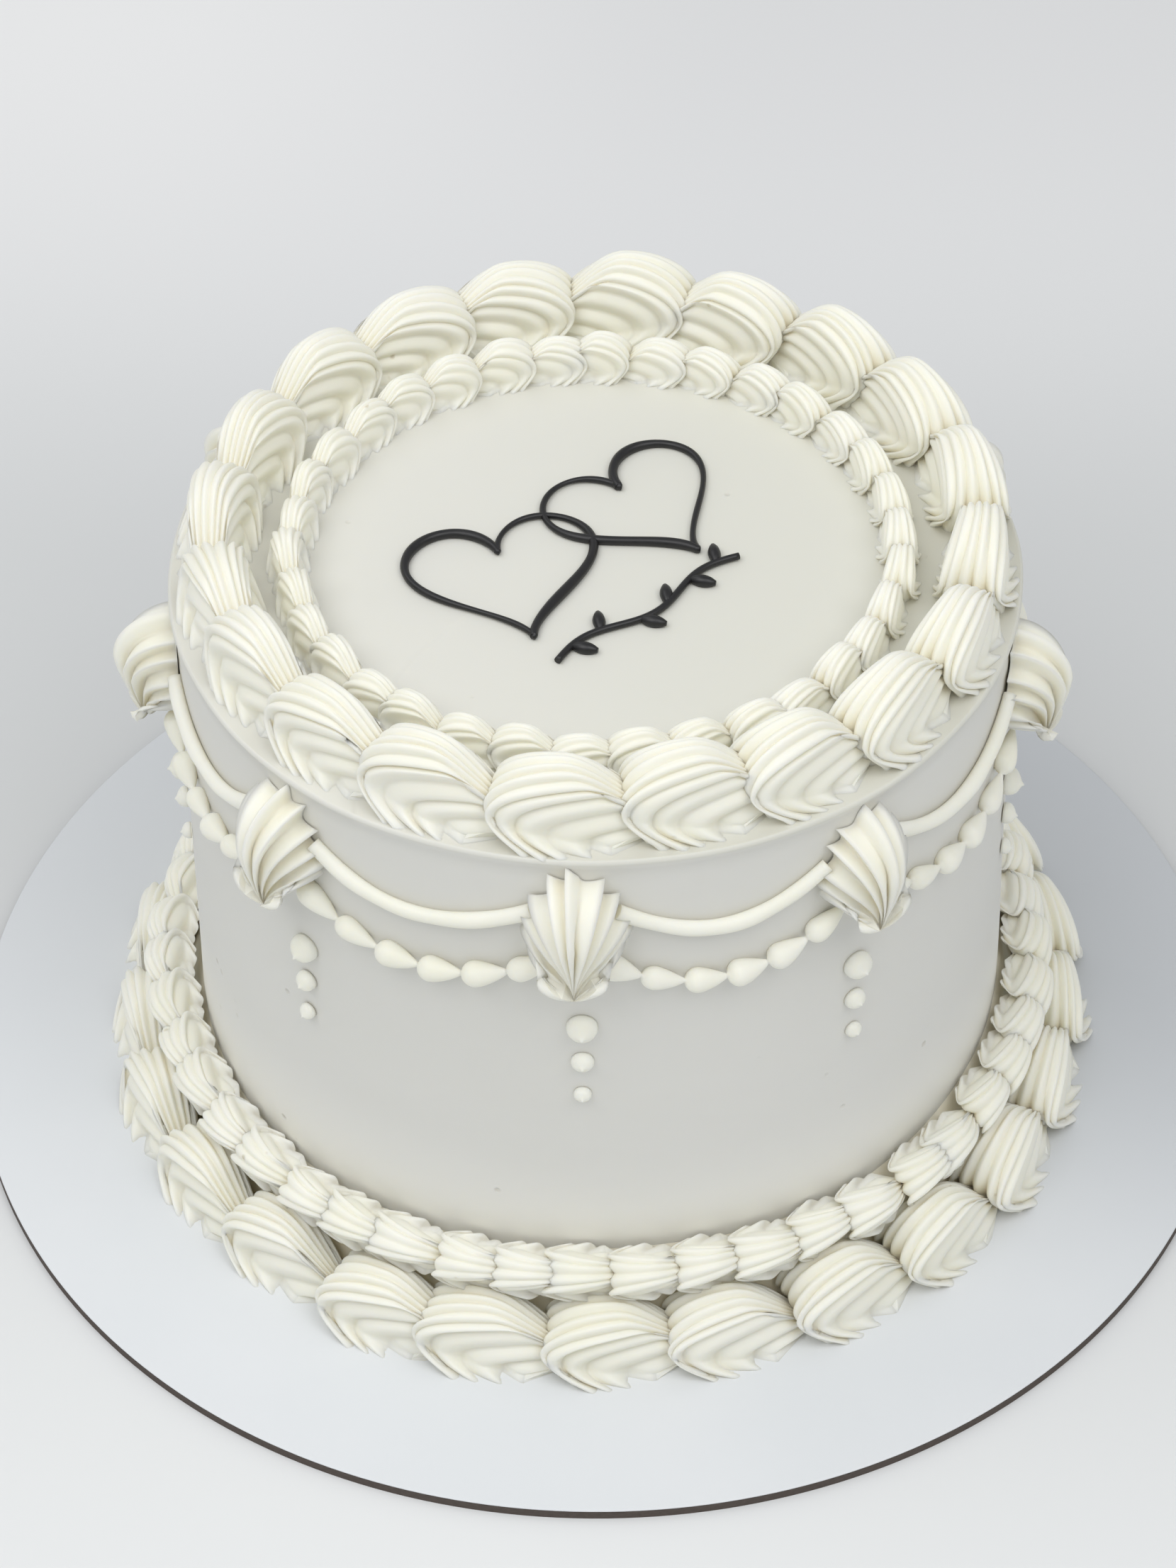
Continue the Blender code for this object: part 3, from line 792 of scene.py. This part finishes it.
# Bead chains: beads of cream piped end to end under every cord with a round nozzle.
# Each bead swells at its start and tapers to where the next one covers it.
bead_radius = 2.45 * MM
bead_end_height = 99.2 * MM
bead_sag = 7.4 * MM
bead_inset = 3.7 * MM
bead_widest = 0.3
beads_per_chain = 6
steps_per_bead = 20
bead_sides = 16
bead_dice = random.Random(24)
for number in range(len(drop_turns)):
    start, end = hung_line(number, bead_inset)
    share = np.linspace(0.0, 1.0, beads_per_chain * steps_per_bead + 1)
    middle = start + (end - start) * share
    height = bead_end_height - bead_sag * 4 * share * (1 - share)
    sizes = np.array([1.0 + bead_dice.uniform(-0.1, 0.1) for _ in range(beads_per_chain + 1)])
    bead = np.minimum((share * beads_per_chain).astype(int), beads_per_chain - 1)
    inside = share * beads_per_chain - bead
    belly = np.sqrt(np.clip(1 - ((inside - bead_widest) / bead_widest) ** 2, 0, 1)) * (inside < bead_widest)
    slide = np.clip((inside - bead_widest) / (1 - bead_widest), 0, 1)
    taper = (1 - 0.82 * slide ** 1.5) * (inside >= bead_widest)
    girth = bead_radius * 0.97 * sizes[bead] * np.maximum(belly + taper, 0.18)
    out = np.full(len(share), bead_radius * 0.5)
    points, faces = line_rings(middle, height, out, girth, girth * 0.95, bead_sides)
    chain = make_piece("beads_%d" % (number + 1), points, faces, cream)
    add_groove(chain, np.zeros(len(points)))
    ride_for(chain, "cream", "bead_chain_%d" % (number + 1))


# Drawing: two linked hearts and a leafy sprig in black piping gel, drawn freehand.
# The line is a soft round bead, thicker where the hand slowed.
line_radius = 0.95 * MM
line_height = cake_top + line_radius * 0.75
line_sides = 10


def ink_paint(place):
    """Black gel with a faint cloudy sheen."""
    cloud = place.grain(500.0, 2.0)
    return {
        "Base Color": cloud.blend((0.006, 0.006, 0.007), (0.014, 0.013, 0.014)),
        "Roughness": 0.28 + cloud * 0.2,
        "Normal": cloud.bump(0.1, 0.0002),
    }


ink = finish_material("black_gel", {"Specular IOR Level": 0.5}, ink_paint)


def drawn_line(path, girth, closed):
    """Round line on the flat top: rings of points and their faces."""
    path = np.asarray(path)
    if closed:
        way = np.roll(path, -1, 0) - np.roll(path, 1, 0)
    else:
        way = np.gradient(path, axis=0)
    way /= np.linalg.norm(way, axis=1, keepdims=True)
    side = np.stack((way[:, 1], -way[:, 0], np.zeros(len(path))), 1)
    rise = np.array((0.0, 0.0, 1.0))
    wide = girth[:, None]
    rings = []
    for step in range(line_sides):
        angle = 2 * math.pi * step / line_sides
        rings.append(path + side * (wide * math.cos(angle)) + rise * (wide * math.sin(angle)))
    points = np.stack(rings, 1).reshape(-1, 3)
    here = np.arange(len(path) * line_sides).reshape(len(path), line_sides)
    after = np.roll(here, -1, 1)
    if closed:
        quads = np.stack((here, after, np.roll(after, -1, 0), np.roll(here, -1, 0)), 2)
    else:
        quads = np.stack((here[:-1], after[:-1], after[1:], here[1:]), 2)
    faces = quads[:, :, ::-1].reshape(-1, 4).tolist()
    if not closed:
        faces.append(here[0].tolist())
        faces.append(here[-1][::-1].tolist())
    return points, faces


def join_lines(name, lines, node):
    """One piece of several drawn lines."""
    points = []
    faces = []
    for more_points, more_faces in lines:
        first = sum(len(block) for block in points)
        points.append(more_points)
        faces += [[number + first for number in face] for face in more_faces]
    item = make_piece(name, np.concatenate(points), faces, ink)
    ride_for(item, "black_icing", node)


# Centre, tilt in degrees and size of each heart
heart_places = (
    (-16.5 * MM, -3.0 * MM, 16.0, 1.12),
    (8.0 * MM, 16.5 * MM, 38.0, 1.06),
)
heart_steps = 160
hearts = []
for centre_x, centre_y, tilt, scale in heart_places:
    angle = np.arange(heart_steps) * 2 * math.pi / heart_steps
    across = 16 * np.sin(angle) ** 3 * scale * MM
    up = 13 * np.cos(angle) - 5 * np.cos(2 * angle) - 2 * np.cos(3 * angle) - np.cos(4 * angle)
    up = up * scale * MM
    cosine = math.cos(math.radians(tilt))
    sine = math.sin(math.radians(tilt))
    path = np.stack((centre_x + across * cosine - up * sine,
                     centre_y + across * sine + up * cosine,
                     np.full(heart_steps, line_height)), 1)
    girth = line_radius * (0.80 + 0.22 * np.sin(angle * 2 + tilt) + 0.05 * np.sin(angle * 9))
    hearts.append(drawn_line(path, girth, True))
join_lines("heart_lines", hearts, "linked_hearts")

sprig_start = (-7.0 * MM, -28.0 * MM)
sprig_length = 44.0 * MM
sprig_turn = math.radians(40.0)
sprig_steps = 60
leaf_count = 6
leaf_turn = math.radians(55.0)
leaf_length = 5.0 * MM
cosine = math.cos(sprig_turn)
sine = math.sin(sprig_turn)
share = np.linspace(0.0, 1.0, sprig_steps)
along = sprig_length * share
across = 1.7 * MM * np.sin(share * math.pi * 3)
path = np.stack((sprig_start[0] + along * cosine - across * sine,
                 sprig_start[1] + along * sine + across * cosine,
                 np.full(sprig_steps, line_height)), 1)
lines = [drawn_line(path, np.full(sprig_steps, line_radius * 0.72), False)]
for leaf in range(leaf_count):
    place = (leaf + 0.6) / (leaf_count + 0.2)
    side = 1 if leaf % 2 else -1
    turn = sprig_turn + side * leaf_turn
    root = path[int(round(place * (sprig_steps - 1)))]
    reach = np.linspace(0.0, 1.0, 16)
    leaf_path = root + np.outer(reach * leaf_length, (math.cos(turn), math.sin(turn), 0.0))
    girth = line_radius * (0.35 + 0.95 * np.sin(np.clip(reach, 0.02, 0.98) * math.pi) ** 0.7)
    lines.append(drawn_line(leaf_path, girth, False))
join_lines("sprig_lines", lines, "leaf_sprig")
